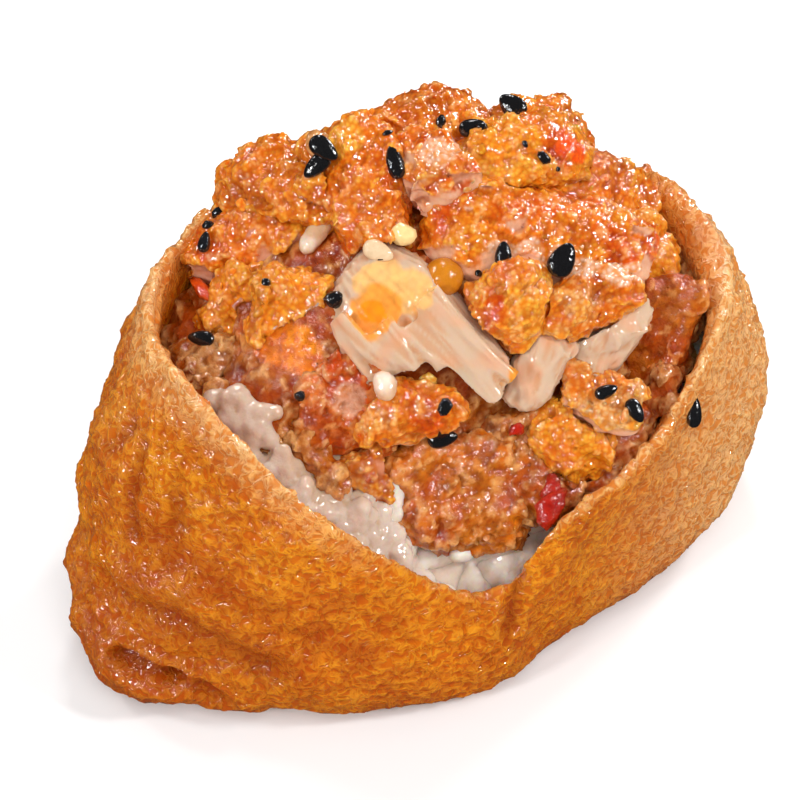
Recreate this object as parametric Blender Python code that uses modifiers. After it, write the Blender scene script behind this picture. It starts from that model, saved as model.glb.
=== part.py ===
"""Stuffed inari sushi: an open fried-tofu pouch filled with rice and heaped with torn seared chicken.

The frame has its origin under the middle of the pouch, +Z up and +X along the pouch's long side.
Lengths below are in millimetres and angles in degrees. Meshes are made in millimetres and scaled once.
"""
import math

import bmesh
import bpy
from mathutils import Matrix, Vector, noise

MM = 0.001

# ---- the tofu pouch -------------------------------------------------------------------------------
WALL = 2.2                      # thickness of the fried skin
BELLY_HALF = (36.6, 22.4)       # half length and half width at the widest level
BELLY_POWER = 1.76              # 2 is an ellipse, less pulls the four shoulders in
BELLY_HEIGHT = 5.5              # level of the widest line above the floor
FOOT_SHARE = 0.80               # flat underside as a share of the belly
RIM_CENTRE_X = 1.8              # the mouth sits a little off the middle
RIM_HALF = (27.4, 21.0)         # half length and half width of the mouth, outside
RIM_POWER = 2.15
RIM_HEIGHT = 34.5               # level of the rim at the back
LOW_AT = 261.0                  # the lowest point of the rim, in front
LEFT_DIP = 20.8                 # how far the rim sinks below the back, left of that point
LEFT_DIP_SPREAD = 40.0
RIGHT_DIP = 14.4                # how far it sinks right of it
RIGHT_DIP_SPREAD = 65.0
TEAR_WIDTH = 8.5                # the torn step between the two
LEFT_RISE = 3.0                 # the peak of the rim at the left end
LEFT_RISE_AT = 192.0
LEFT_RISE_WIDTH = 16.0
SAG_DEPTH = 2.5                 # the slack stretch of rim to the right of the step
SAG_AT = 305.0
SAG_WIDTH = 20.0
CORNER_AT = 187.0               # the tucked corner at the low left end
CORNER_SWELL = 1.6
CORNER_WIDTH = 13.0
CORNER_TOP = 9.0                # level where the corner's swell has died away
# places where the widest line runs higher and further out: angle, lift, swell, half width in degrees
BULGES = (
    (352.0, 6.0, 1.2, 24.0),
    (160.0, 6.0, 0.5, 20.0),
    (300.0, -1.0, -2.6, 22.0),
)
WALL_POWER = 2.0                # shape of the wall from belly to rim: 1 is straight, 2 is a full arch
WALL_POWER_LEFT = 1.6           # the left end leans in straighter
LEFT_WIDTH = 42.0
LUMP_SIZE = 11.0                # size and height of the skin's soft swellings
LUMP_HEIGHT = 0.9
POUCH_SEGMENTS = 48
FLAT_RINGS = 2
LOWER_RINGS = 3
WALL_RINGS = 8
LAST_RING = FLAT_RINGS + LOWER_RINGS + WALL_RINGS

# creases pressed into the skin: (angle, height) at each end, depth, half width
CREASES = (
    ((166.0, 13.0), (200.0, 9.0), 1.9, 2.4),
    ((200.0, 9.0), (214.0, 3.0), 1.3, 2.2),
    ((150.0, 26.0), (184.0, 16.0), 0.9, 2.6),
    ((196.0, 22.0), (222.0, 12.0), 0.8, 2.6),
    ((264.0, 14.0), (282.0, 5.0), 0.9, 2.2),
    ((318.0, 22.0), (334.0, 12.0), 0.8, 2.8),
    ((20.0, 30.0), (34.0, 14.0), 1.0, 2.8),
    ((66.0, 28.0), (84.0, 12.0), 0.9, 2.8),
    ((112.0, 31.0), (124.0, 15.0), 1.0, 2.8),
)

# ---- the rice -------------------------------------------------------------------------------------
GAP = 0.3                       # clearance between pieces that touch
RICE_SEGMENTS = 30
RICE_SIDE_RINGS = 7
RICE_TOP_RINGS = 4
RICE_INSET = WALL + GAP + 1.1   # the rice's distance from the pouch's outer skin
RICE_NOTCH = 13.5               # lowest level of the rice, in the notch
RICE_BELOW_RIM = 8.0            # level of its edge under the rim elsewhere
RICE_BANK = 6.0                 # rise of the bank of rice along the left part of the front
RICE_BANK_AT = 225.0
RICE_BANK_WIDTH = 24.0
RICE_CROWN = 24.0               # level in the middle
RICE_ROUGH = 0.9

# ---- the heap of small torn meat under the larger pieces --------------------------------------------
HEAP_CENTRE = (1.8, 1.5)
HEAP_HALF = (24.3, 17.8)
HEAP_POWER = 2.2
HEAP_CROWN = 39.0               # level of its middle
HEAP_CROWN_AT = (4.0, 3.0)
HEAP_RISE = 0.2                 # slope of the whole up to the back
HEAP_LEAST_EDGE = 17.0          # least level of its edge
HEAP_SHY = 2.6                  # how far it draws back from the rice bank in front
HEAP_SHY_AT = 232.0
HEAP_SHY_WIDTH = 32.0
HEAP_UNDER_RIM = 6.0            # level of its edge under the pouch's rim
HEAP_FALL = 2.4                 # 1 is a cone, more is a flatter crown with steeper sides
HEAP_SINK = 2.5                 # how far the blank reaches into the rice before the rice trims it
HEAP_ROUGH = 1.6
HEAP_GRAIN = 5.0
HEAP_SEGMENTS = 26
HEAP_RINGS = 10
HEAP_UNDER_RINGS = 3

# ---- the larger torn pieces -------------------------------------------------------------------------
CUT_GAP = 0.42                  # clearance grown round a piece before it trims its neighbours
TORN_ROUGH = 0.10               # unevenness as a share of a piece's width
TORN_GRAIN = 3.2                # size of that unevenness
LARGE_PIECE = 18.0              # pieces longer than this have a finer mesh
WELD = 0.02                     # points nearer than this are one
FLATTEN = 9.0                   # trimmed faces that meet at less than this become one
DECIMALS = 7                    # places that coordinates in metres are rounded to
SORT_ALONG = Vector((1.0, 0.731, 0.389))    # direction in which a mesh's points are numbered

# name, middle of the outer face (x, y, z), size (length, width, thickness),
# turn and tilt of the face (turn 0 looks to the front, tilt 0 looks up), spin in the face,
# roundness (2 is a ball, more is a block), taper to the far end, colour
PIECES = (
    ("white_breast", (-2.8, -6.2, 36.3), (18.5, 9.5, 6.0), -25, 46, -38, 3.4, -0.30, "breast"),
    ("fillet_slab", (10.8, -3.2, 40.5), (21.5, 9.5, 6.0), -8, 34, -20, 3.4, -0.10, "seared"),
    ("breast_end", (6.0, -11.2, 32.0), (8.0, 4.5, 4.0), -28, 55, 62, 3.4, 0.0, "breast"),
    ("top_chunk", (-3.0, 5.3, 43.5), (15.0, 7.5, 7.0), -25, 36, -80, 3.2, -0.10, "seared"),
    ("left_ridge", (-11.6, 10.5, 38.5), (17.0, 6.5, 7.0), -40, 42, 36, 3.0, 0.15, "seared"),
    ("top_right_chunk", (11.7, 3.4, 45.0), (12.5, 7.0, 7.5), -18, 34, 8, 3.0, 0.0, "seared"),
    ("pale_lump", (3.3, 4.3, 45.5), (9.0, 6.5, 7.0), -25, 30, -35, 2.8, -0.15, "seared"),
    ("back_left_crust", (-9.5, 12.4, 42.5), (14.0, 8.0, 7.5), -62, 34, 18, 3.2, 0.10, "seared"),
    ("back_top_crust", (1.6, 10.8, 45.4), (21.0, 7.5, 7.0), -5, 14, 14, 3.2, 0.0, "seared"),
    ("back_top_right", (16.0, 8.4, 42.0), (14.0, 9.0, 8.0), 25, 24, -20, 3.2, 0.0, "seared"),
    ("right_crust", (20.2, 0.8, 39.0), (14.0, 9.0, 8.0), 30, 44, -56, 3.2, 0.0, "seared"),
    ("right_low_crust", (21.8, -4.0, 35.0), (9.0, 6.5, 6.0), 18, 52, -60, 3.0, 0.0, "seared"),
    ("skin_flake", (-12.7, 0.6, 34.3), (11.5, 8.0, 4.0), -32, 52, 80, 4.0, 0.10, "seared"),
    ("left_flake", (-16.4, 6.7, 32.5), (8.5, 4.8, 3.0), -42, 58, 72, 3.6, 0.20, "seared"),
    ("front_chunk", (-12.1, -6.4, 31.0), (11.0, 9.5, 7.0), -32, 52, 10, 3.2, 0.0, "glazed"),
    ("front_ledge", (-5.4, -10.7, 32.0), (9.5, 5.0, 5.0), -20, 40, 16, 3.0, 0.0, "seared"),
    ("crumb_cluster", (5.1, -7.9, 38.0), (8.0, 7.0, 5.5), -20, 48, 60, 2.8, 0.0, "seared"),
    ("mid_crust", (12.3, -9.2, 37.0), (10.5, 5.5, 5.0), -10, 46, 14, 3.0, 0.0, "seared"),
    ("fibrous_piece", (13.2, -10.9, 33.0), (10.5, 6.5, 5.5), -20, 58, 50, 3.0, 0.10, "breast"),
    ("dark_slab", (19.9, -9.7, 29.5), (11.0, 5.5, 4.0), -35, 62, 78, 3.6, 0.0, "glazed"),
    ("flaky_bit", (11.4, -14.3, 29.5), (7.5, 5.2, 3.2), -18, 40, -30, 3.2, 0.0, "seared"),
    ("orange_lump", (8.5, -15.3, 26.0), (8.0, 7.0, 6.0), -15, 50, -50, 2.8, 0.0, "seared"),
    ("low_meat", (-4.2, -13.6, 23.0), (17.0, 12.5, 9.0), -20, 50, -4, 3.0, 0.0, "glazed"),
    ("low_middle", (4.2, -15.0, 23.5), (11.5, 11.0, 8.0), -12, 50, 0, 2.8, 0.0, "glazed"),
    ("low_right", (12.5, -15.8, 24.0), (10.0, 8.5, 6.5), 0, 48, 40, 2.8, 0.0, "glazed"),
    ("left_meat", (-18.2, 1.6, 30.5), (10.0, 8.0, 6.0), -30, 40, 10, 2.8, 0.0, "glazed"),
    ("small_flake", (-11.0, -11.0, 24.5), (7.0, 4.4, 3.0), -25, 66, -72, 3.6, 0.0, "seared"),
    ("rear_left", (-8.5, 16.0, 38.8), (12.0, 8.0, 7.0), -160, 50, 6, 3.0, 0.0, "seared"),
    ("rear_middle", (3.0, 17.3, 39.5), (13.0, 8.0, 6.0), 178, 50, -8, 3.0, 0.0, "seared"),
    ("rear_right", (14.5, 14.2, 39.3), (12.5, 8.5, 7.0), 152, 48, 12, 3.0, 0.0, "glazed"),
)

COLOURS = {
    "skin": ((0.58, 0.25, 0.05), 0.38),
    "rice": ((0.80, 0.72, 0.62), 0.35),
    "heap": ((0.30, 0.11, 0.035), 0.40),
    "seared": ((0.62, 0.20, 0.03), 0.35),
    "glazed": ((0.42, 0.12, 0.03), 0.28),
    "breast": ((0.80, 0.60, 0.44), 0.40),
}


def bump(value, centre, width):
    """A smooth hump of height 1 at centre, in degrees round the pouch."""
    gap = (value - centre + 180.0) % 360.0 - 180.0
    return math.exp(-(gap / width) ** 2)


def rounded_radius(angle, half, power):
    """Radius at an angle of a superellipse with the given half axes."""
    c = abs(math.cos(math.radians(angle))) / half[0]
    s = abs(math.sin(math.radians(angle))) / half[1]
    return (c ** power + s ** power) ** (-1.0 / power)


def rim_height(angle):
    """Level of the rim: high at the back and at the left end, sunk in front, with a torn step."""
    gap = (angle - LOW_AT + 180.0) % 360.0 - 180.0
    if gap < 0.0:
        dip = LEFT_DIP * math.exp(-(gap / LEFT_DIP_SPREAD) ** 2)
    else:
        dip = RIGHT_DIP * math.exp(-(gap / RIGHT_DIP_SPREAD) ** 2)
        dip += (LEFT_DIP - RIGHT_DIP) * math.exp(-(gap / TEAR_WIDTH) ** 2)
        dip += SAG_DEPTH * bump(angle, SAG_AT, SAG_WIDTH)
    return RIM_HEIGHT - dip + LEFT_RISE * bump(angle, LEFT_RISE_AT, LEFT_RISE_WIDTH)


def crease_depth(angle, radius, height):
    """How far the skin is pressed in by the creases at this place on the wall."""
    depth = 0.0
    for (a0, h0), (a1, h1), deep, width in CREASES:
        gap = (angle - a0 + 180.0) % 360.0 - 180.0
        x = math.radians(gap) * radius
        y = height - h0
        run_x = math.radians(a1 - a0) * radius
        run_y = h1 - h0
        share = (x * run_x + y * run_y) / (run_x ** 2 + run_y ** 2)
        share = min(1.0, max(0.0, share))
        distance = math.hypot(x - share * run_x, y - share * run_y)
        depth += deep * math.exp(-(distance / width) ** 2)
    return depth


def belly_height(angle):
    """Level of the pouch's widest line."""
    return BELLY_HEIGHT + sum(lift * bump(angle, at, width) for at, lift, swell, width in BULGES)


def pouch_point(angle, ring, creased=True):
    """A point of the pouch's outer skin: ring 0 is the middle of the underside, the last is the rim."""
    belly = rounded_radius(angle, BELLY_HALF, BELLY_POWER)
    belly += sum(swell * bump(angle, at, width) for at, lift, swell, width in BULGES)
    belly_level = belly_height(angle)
    foot = belly * FOOT_SHARE
    centre_x = 0.0
    if ring <= FLAT_RINGS:
        radius = foot * ring / FLAT_RINGS
        height = 0.0
    elif ring <= FLAT_RINGS + LOWER_RINGS:
        turn = math.radians(90.0 * (ring - FLAT_RINGS) / LOWER_RINGS)
        radius = foot + (belly - foot) * math.sin(turn)
        height = belly_level * (1.0 - math.cos(turn))
    else:
        share = (ring - FLAT_RINGS - LOWER_RINGS) / WALL_RINGS
        rim = rounded_radius(angle, RIM_HALF, RIM_POWER)
        power = WALL_POWER + (WALL_POWER_LEFT - WALL_POWER) * bump(angle, 180.0, LEFT_WIDTH)
        radius = belly + (rim - belly) * share ** power
        height = belly_level + (rim_height(angle) - belly_level) * share
        centre_x = RIM_CENTRE_X * share ** power
    if ring > FLAT_RINGS:
        swell = CORNER_SWELL * bump(angle, CORNER_AT, CORNER_WIDTH)
        radius += swell * max(0.0, 1.0 - (height / CORNER_TOP) ** 2)
        if creased:
            radius -= crease_depth(angle, radius, height)
        place = Vector((radius * math.cos(math.radians(angle)),
                        radius * math.sin(math.radians(angle)), height))
        rise = min(1.0, height / BELLY_HEIGHT)
        radius += LUMP_HEIGHT * rise * noise.noise(place / LUMP_SIZE)
    return Vector((centre_x + radius * math.cos(math.radians(angle)),
                   radius * math.sin(math.radians(angle)), height))


def skin_ring_at(angle, height):
    """The ring number, whole or between, where the wall passes a height."""
    belly_level = belly_height(angle)
    if height <= belly_level:
        turn = math.acos(1.0 - height / belly_level)
        return FLAT_RINGS + LOWER_RINGS * turn / math.radians(90.0)
    share = (height - belly_level) / (rim_height(angle) - belly_level)
    return FLAT_RINGS + LOWER_RINGS + WALL_RINGS * min(1.0, share)


def inside_skin(angle, ring, depth):
    """A point that lies a depth inside the smooth outer skin, square to it."""
    here = pouch_point(angle, ring, creased=False)
    along = pouch_point(angle + 1.0, ring, creased=False) - pouch_point(angle - 1.0, ring, creased=False)
    low = max(0.05, ring - 0.1)
    high = min(float(LAST_RING), ring + 0.1)
    up = pouch_point(angle, high, creased=False) - pouch_point(angle, low, creased=False)
    if along.length < 1e-6:
        return here + Vector((0.0, 0.0, depth))
    return here - along.cross(up).normalized() * depth


def mouth_place(x, y):
    """Angle round the mouth, and distance from its middle as a share of the way to the wall."""
    angle = math.degrees(math.atan2(y, x - RIM_CENTRE_X)) % 360.0
    reach = rounded_radius(angle, RIM_HALF, RIM_POWER) - WALL
    return angle, math.hypot(x - RIM_CENTRE_X, y) / reach


def rice_edge(angle):
    """Level of the rice where it meets the pouch's wall."""
    bank = RICE_BANK * bump(angle, RICE_BANK_AT, RICE_BANK_WIDTH)
    return max(RICE_NOTCH, rim_height(angle) - RICE_BELOW_RIM + bank)


def rice_height(x, y):
    """Level of the rice's top over a place in plan."""
    angle, share = mouth_place(x, y)
    edge = rice_edge(angle)
    rough = RICE_ROUGH * noise.noise(Vector((x, y, 7.0)) / 4.0)
    return edge + (RICE_CROWN - edge) * max(0.0, 1.0 - share ** 1.7) + rough


def heap_height(x, y):
    """Level of the small meat's top over a place in plan."""
    across = math.hypot((x - HEAP_CROWN_AT[0]) / HEAP_HALF[0], (y - HEAP_CROWN_AT[1]) / HEAP_HALF[1])
    edge = max(HEAP_LEAST_EDGE, rim_height(mouth_place(x, y)[0]) - HEAP_UNDER_RIM)
    rough = HEAP_ROUGH * noise.noise(Vector((x, y, 40.0)) / HEAP_GRAIN)
    rough += HEAP_RISE * (y - HEAP_CROWN_AT[1])
    return edge + (HEAP_CROWN - edge) * max(0.0, 1.0 - across ** HEAP_FALL) + rough


def rice_point(angle, ring):
    """A point of the rice: up along the inside of the pouch, then over its uneven top."""
    edge_ring = skin_ring_at(angle, rice_edge(angle))
    if ring <= RICE_SIDE_RINGS:
        return inside_skin(angle, edge_ring * ring / RICE_SIDE_RINGS, RICE_INSET)
    edge = inside_skin(angle, edge_ring, RICE_INSET)
    share = (ring - RICE_SIDE_RINGS) / RICE_TOP_RINGS
    x = edge.x * (1.0 - share) + RIM_CENTRE_X * share
    y = edge.y * (1.0 - share)
    return Vector((x, y, max(rice_height(x, y), edge.z)))


def heap_point(angle, ring):
    """A point of the small meat: out under it, buried in the rice, then over its uneven top."""
    reach = rounded_radius(angle, HEAP_HALF, HEAP_POWER)
    reach -= HEAP_SHY * bump(angle, HEAP_SHY_AT, HEAP_SHY_WIDTH)
    if ring <= HEAP_UNDER_RINGS:
        share = 0.97 * ring / HEAP_UNDER_RINGS
    else:
        share = (HEAP_RINGS - ring) / (HEAP_RINGS - HEAP_UNDER_RINGS - 1)
    x = HEAP_CENTRE[0] + reach * share * math.cos(math.radians(angle))
    y = HEAP_CENTRE[1] + reach * share * math.sin(math.radians(angle))
    if ring <= HEAP_UNDER_RINGS:
        return Vector((x, y, rice_height(x, y) - HEAP_SINK))
    return Vector((x, y, max(heap_height(x, y), rice_height(x, y) - HEAP_SINK + 1.0)))


def ball(segments, last_ring, place, open_top=False):
    """A ball whose rings are moved to place(angle, ring); ring 0 is its lowest point."""
    bm = bmesh.new()
    rings = last_ring + 1 if open_top else last_ring
    bmesh.ops.create_uvsphere(bm, u_segments=segments, v_segments=rings, radius=1.0)
    if open_top:
        top = max(bm.verts, key=lambda v: v.co.z)
        bmesh.ops.delete(bm, geom=[top], context="VERTS")
    for vert in bm.verts:
        polar = math.acos(max(-1.0, min(1.0, -vert.co.z)))
        ring = round(polar / math.pi * rings)
        angle = math.degrees(math.atan2(vert.co.y, vert.co.x)) % 360.0
        vert.co = place(angle, ring)
    return bm


def torn_block(size, spin, roundness, taper, seed):
    """A rounded, ragged block of torn meat, its outer face up and centred on the origin."""
    cuts = 3 if size[0] > LARGE_PIECE else 2
    bm = bmesh.new()
    bmesh.ops.create_cube(bm, size=2.0)
    bmesh.ops.subdivide_edges(bm, edges=bm.edges[:], cuts=cuts, use_grid_fill=True)
    rough = TORN_ROUGH * size[1]
    turn = Matrix.Rotation(math.radians(spin), 3, "Z")
    for vert in bm.verts:
        reach = sum(abs(c) ** roundness for c in vert.co) ** (1.0 / roundness)
        x, y, z = (c / reach for c in vert.co)
        widen = 1.0 + taper * x
        place = Vector((x * size[0] / 2.0, y * widen * size[1] / 2.0, z * size[2] / 2.0))
        spot = place / TORN_GRAIN + Vector((seed * 13.0, 5.0, 1.0))
        place += rough * Vector(noise.noise(spot + Vector((0.0, 0.0, 7.3 * k))) for k in range(3))
        place.z -= size[2] / 2.0
        vert.co = turn @ place
    return bm


def new_object(name, bm, group, material=None):
    """An object from a mesh made in millimetres, at the origin."""
    bmesh.ops.triangulate(bm, faces=bm.faces[:])
    bmesh.ops.scale(bm, vec=(MM, MM, MM), verts=bm.verts[:])
    mesh = bpy.data.meshes.new(name)
    bm.to_mesh(mesh)
    bm.free()
    obj = bpy.data.objects.new(name, mesh)
    group.objects.link(obj)
    if material:
        mesh.materials.append(material)
    return obj


def new_material(name, colour, roughness):
    """A plain surface of one colour."""
    material = bpy.data.materials.new(name)
    material.use_nodes = True
    shader = material.node_tree.nodes["Principled BSDF"]
    shader.inputs["Base Color"].default_value = (*colour, 1.0)
    shader.inputs["Roughness"].default_value = roughness
    shader.inputs["Metallic"].default_value = 0.0
    return material


def rounded(place):
    """A place in metres, rounded, so that the same numbers come out each time."""
    return Vector(round(c, DECIMALS) for c in place)


def put_in_order(bm):
    """Number a mesh's points, edges and faces by where they are."""
    bm.verts.sort(key=lambda v: v.co.dot(SORT_ALONG))
    bm.edges.sort(key=lambda e: (e.verts[0].co + e.verts[1].co).dot(SORT_ALONG))
    bm.faces.sort(key=lambda f: f.calc_center_median().dot(SORT_ALONG))


def settle(obj, flatten=0.0):
    """Apply an object's modifiers and place to its mesh, and keep only its largest solid.

    Faces that meet at less than the flatten angle become one before they are cut into triangles again.
    """
    bpy.context.view_layer.update()
    graph = bpy.context.evaluated_depsgraph_get()
    mesh = bpy.data.meshes.new_from_object(obj.evaluated_get(graph))
    mesh.transform(obj.matrix_world)
    obj.modifiers.clear()
    obj.matrix_world = Matrix.Identity(4)
    obj.data = mesh
    bm = bmesh.new()
    bm.from_mesh(mesh)
    for vert in bm.verts:
        vert.co = rounded(vert.co)
    put_in_order(bm)
    bmesh.ops.remove_doubles(bm, verts=bm.verts[:], dist=WELD * MM)
    bmesh.ops.dissolve_degenerate(bm, edges=bm.edges[:], dist=WELD * MM)
    bmesh.ops.dissolve_limit(bm, angle_limit=math.radians(flatten), verts=bm.verts[:], edges=bm.edges[:])
    bmesh.ops.triangulate(bm, faces=bm.faces[:])
    islands = []
    left = set(bm.verts)
    while left:
        island = {left.pop()}
        edge_verts = list(island)
        while edge_verts:
            for edge in edge_verts.pop().link_edges:
                for vert in edge.verts:
                    if vert in left:
                        left.remove(vert)
                        island.add(vert)
                        edge_verts.append(vert)
        islands.append(island)
    islands.sort(key=span, reverse=True)
    for island in islands[1:]:
        bmesh.ops.delete(bm, geom=list(island), context="VERTS")
    put_in_order(bm)
    bm.to_mesh(mesh)
    bm.free()


def span(verts):
    """The length of the diagonal of the box round some vertices."""
    low = Vector(min(v.co[k] for v in verts) for k in range(3))
    high = Vector(max(v.co[k] for v in verts) for k in range(3))
    return (high - low).length


def clearance(blank, group):
    """A copy of an untrimmed blank, grown by the clearance, that trims the pieces round it."""
    bpy.context.view_layer.update()
    cutter = blank.copy()
    cutter.name = blank.name + "_clearance"
    cutter.data = blank.data.copy()
    group.objects.link(cutter)
    bm = bmesh.new()
    bm.from_mesh(cutter.data)
    bm.normal_update()
    for vert in bm.verts:
        vert.co = rounded(vert.co + vert.normal * CUT_GAP * MM)
    bm.to_mesh(cutter.data)
    bm.free()
    cutter.hide_render = True
    cutter.display_type = "WIRE"
    return cutter


def box_of(obj):
    """Lowest and highest corner of an object in world space, its modifiers included."""
    graph = bpy.context.evaluated_depsgraph_get()
    points = [obj.matrix_world @ Vector(corner) for corner in obj.evaluated_get(graph).bound_box]
    low = [min(p[k] for p in points) for k in range(3)]
    high = [max(p[k] for p in points) for k in range(3)]
    return low, high


def trim(obj, cutters):
    """Cut an object by each clearance whose box it meets, then settle it."""
    bpy.context.view_layer.update()
    low, high = box_of(obj)
    for cutter in cutters:
        cut_low, cut_high = box_of(cutter)
        if all(low[k] < cut_high[k] and cut_low[k] < high[k] for k in range(3)):
            modifier = obj.modifiers.new(cutter.name, "BOOLEAN")
            modifier.operation = "DIFFERENCE"
            modifier.object = cutter
    settle(obj, FLATTEN)


def main():
    for obj in list(bpy.data.objects):
        bpy.data.objects.remove(obj, do_unlink=True)
    parts = bpy.data.collections.new("inari_sushi")
    cutters = bpy.data.collections.new("clearances")
    bpy.context.scene.collection.children.link(parts)
    bpy.context.scene.collection.children.link(cutters)
    looks = {name: new_material(name, *look) for name, look in COLOURS.items()}

    pouch = new_object("tofu_pouch", ball(POUCH_SEGMENTS, LAST_RING, pouch_point, open_top=True),
                       parts, looks["skin"])
    shell = pouch.modifiers.new("wall", "SOLIDIFY")
    shell.thickness = WALL * MM
    shell.offset = -1.0
    settle(pouch)
    trimmers = [clearance(pouch, cutters)]

    rice = new_object("rice", ball(RICE_SEGMENTS, RICE_SIDE_RINGS + RICE_TOP_RINGS, rice_point),
                      parts, looks["rice"])
    heap = new_object("small_meat", ball(HEAP_SEGMENTS, HEAP_RINGS, heap_point), parts, looks["heap"])
    blanks = [rice, heap]
    for seed, (name, face, size, turn, tilt, spin, roundness, taper, look) in enumerate(PIECES):
        piece = new_object(name, torn_block(size, spin, roundness, taper, seed), parts, looks[look])
        piece.location = Vector(face) * MM
        piece.rotation_euler = (math.radians(tilt), 0.0, math.radians(turn))
        blanks.append(piece)
    for blank in blanks:
        cutter = clearance(blank, cutters)
        trim(blank, trimmers)
        trimmers.append(cutter)


main()
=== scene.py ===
"""Looks for the stuffed inari sushi: an open fried-tofu pouch, rice, and a heap of torn seared chicken.

Places and sizes below are in millimetres in the part's own frame unless a name says otherwise.
"""
import math

import bmesh
import bpy
import numpy as np
from mathutils import Matrix, Vector
from mathutils.bvhtree import BVHTree


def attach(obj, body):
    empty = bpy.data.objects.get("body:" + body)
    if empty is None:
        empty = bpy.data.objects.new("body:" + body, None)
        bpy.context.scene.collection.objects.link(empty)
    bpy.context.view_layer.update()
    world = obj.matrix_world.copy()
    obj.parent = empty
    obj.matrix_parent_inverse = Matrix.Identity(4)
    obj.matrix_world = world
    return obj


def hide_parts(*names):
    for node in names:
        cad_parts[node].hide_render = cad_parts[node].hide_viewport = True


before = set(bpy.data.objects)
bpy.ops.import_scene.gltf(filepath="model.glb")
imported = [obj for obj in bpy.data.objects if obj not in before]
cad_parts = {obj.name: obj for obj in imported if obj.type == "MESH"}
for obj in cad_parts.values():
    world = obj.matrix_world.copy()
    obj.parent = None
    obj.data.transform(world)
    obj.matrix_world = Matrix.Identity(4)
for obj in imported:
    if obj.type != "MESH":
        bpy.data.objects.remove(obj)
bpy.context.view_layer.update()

MM = 0.001
LATTICE = 32                    # cells along each side of the noise's repeating block

# ---- the camera, as it stood for the photograph -----------------------------------------------------
VIEW_AZIMUTH = -24.5
VIEW_ELEVATION = 46.0
VIEW_DISTANCE = 228.0
VIEW_LENS = 100.0
VIEW_TARGET = (-2.052, 14.364)  # what it looks at, across and up in its own view


def from_angles(azimuth, elevation):
    """The direction towards a viewer at an azimuth, 0 in front, and an elevation, in degrees."""
    a = math.radians(azimuth)
    e = math.radians(elevation)
    return np.array((math.sin(a) * math.cos(e), -math.cos(a) * math.cos(e), math.sin(e)))


VIEW_BACK = from_angles(VIEW_AZIMUTH, VIEW_ELEVATION)
VIEW_RIGHT = np.array((math.cos(math.radians(VIEW_AZIMUTH)), math.sin(math.radians(VIEW_AZIMUTH)), 0.0))
VIEW_UP = np.cross(VIEW_BACK, VIEW_RIGHT)
EYE = VIEW_RIGHT * VIEW_TARGET[0] + VIEW_UP * VIEW_TARGET[1] + VIEW_BACK * VIEW_DISTANCE


# ---- the lights: azimuth, elevation, size in metres, power -------------------------------------------
LIGHT_DISTANCE = 0.6
LIGHTS = (
    (155.0, 50.0, 0.09, 0.80),
    (-72.0, 34.0, 0.08, 1.20),
    (112.0, 24.0, 0.09, 1.50),
    (50.0, 40.0, 0.07, 1.20),
    (-140.0, 38.0, 0.07, 0.45),
)
FILL = (-15.0, 55.0, 0.40, 1.75)    # the soft fill from over the camera, which shows in no highlight

# ---- colours, linear --------------------------------------------------------------------------------
SKIN = (0.68, 0.165, 0.003)
SKIN_DARK = (0.47, 0.085, 0.003)
# painted shade for the skin's grooves
SKIN_CREASE_SHADE = (0.30, 0.040, 0.001)
SKIN_GOLD = (0.82, 0.27, 0.008)
# paler skin, painted light: the right end and the upper left rim, and partly the rim's lip
SKIN_PAINTED_LIGHT = (0.88, 0.44, 0.13)
CRUST = (0.80, 0.205, 0.008)
CRUST_RED = (0.70, 0.085, 0.001)
CRUST_BROWN = (0.52, 0.120, 0.006)
CRUST_ROAST = (0.66, 0.15, 0.006)
CRUST_BRIGHT = (0.97, 0.285, 0.006)
CRUST_GOLD = (0.86, 0.295, 0.014)
CRUST_YELLOW = (0.93, 0.42, 0.035)
CRUST_TAN = (0.84, 0.42, 0.12)
CRUST_DEEP = (0.34, 0.040, 0.001)
FLESH = (0.84, 0.48, 0.26)
FLESH_WHITE = (0.66, 0.46, 0.32)
FLESH_PINK = (0.76, 0.38, 0.22)
FLESH_DEEP = (0.62, 0.22, 0.05)
STAIN = (0.90, 0.33, 0.040)
STAIN_PALE = (0.90, 0.50, 0.17)
GLAZE = (0.56, 0.150, 0.008)
GLAZE_DARK = (0.24, 0.038, 0.001)
GLAZE_RED = (0.50, 0.080, 0.004)
GLAZE_PALE = (0.74, 0.40, 0.14)
GLAZE_GREY = (0.45, 0.24, 0.10)
CHILLI = (0.50, 0.016, 0.003)
CHILLI_ORANGE = (0.90, 0.10, 0.004)
RICE_WHITE = (0.98, 0.86, 0.75)
RICE_BROWN = (0.60, 0.29, 0.09)
RICE_GREY = (0.62, 0.45, 0.34)
BLACK = (0.007, 0.007, 0.008)


# ---- noise on arrays of points ----------------------------------------------------------------------
TABLES = np.random.default_rng(11)
GRADIENTS = TABLES.normal(size=(LATTICE, LATTICE, LATTICE, 3))
GRADIENTS /= np.linalg.norm(GRADIENTS, axis=3, keepdims=True)
SPOTS = TABLES.random((LATTICE, LATTICE, LATTICE, 4))
LEANS = TABLES.normal(size=(LATTICE, LATTICE, LATTICE, 3))
SHIFT = np.array((17.31, 5.17, 9.73))


def perlin(points, size, seed=0):
    """Smooth noise, about -1 to 1, with features of a size."""
    place = points / size + seed * SHIFT
    cell = np.floor(place).astype(int)
    part = place - cell
    ease = part ** 3 * (part * (part * 6.0 - 15.0) + 10.0)
    total = np.zeros(len(points))
    for corner in np.ndindex(2, 2, 2):
        spot = (cell + corner) % LATTICE
        slope = (GRADIENTS[spot[:, 0], spot[:, 1], spot[:, 2]] * (part - corner)).sum(1)
        weight = np.where(np.array(corner) == 1, ease, 1.0 - ease).prod(1)
        total += weight * slope
    return total * 1.7


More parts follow.
